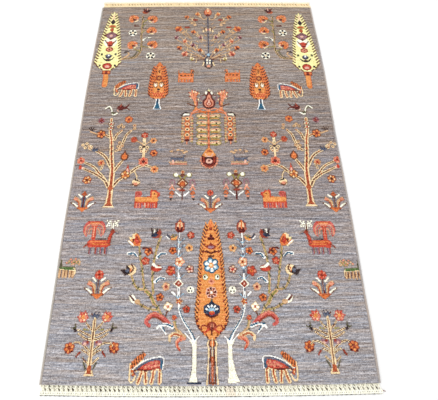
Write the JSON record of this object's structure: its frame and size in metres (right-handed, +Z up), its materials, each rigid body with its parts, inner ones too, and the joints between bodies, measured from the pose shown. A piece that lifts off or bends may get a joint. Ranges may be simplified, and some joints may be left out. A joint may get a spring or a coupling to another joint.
{
  "type": "hand-knotted wool carpet",
  "caption": "Flat hand-knotted wool carpet with overcast side cords and a narrow band of knotted warps at each end.",
  "frame": {"origin": "on the floor under the middle of the whole carpet, fringes included", "axes": "+Y along the carpet to its far end, where the trees' tops point; +X across it; +Z up out of the pile"},
  "size_m": [1.0049, 1.6236, 0.009],
  "materials": {
    "pile_wool": "cut wool pile, grey with banded dye and small coloured figures",
    "side_wool": "overcast wool yarn",
    "warp_cotton": "undyed cotton warps, knotted"
  },
  "bodies": {
    "root": {"pile_field": "pile_wool", "selvedge_left": "side_wool", "selvedge_right": "side_wool", "fringe_near": "warp_cotton", "fringe_far": "warp_cotton"}
  },
  "joints": []
}
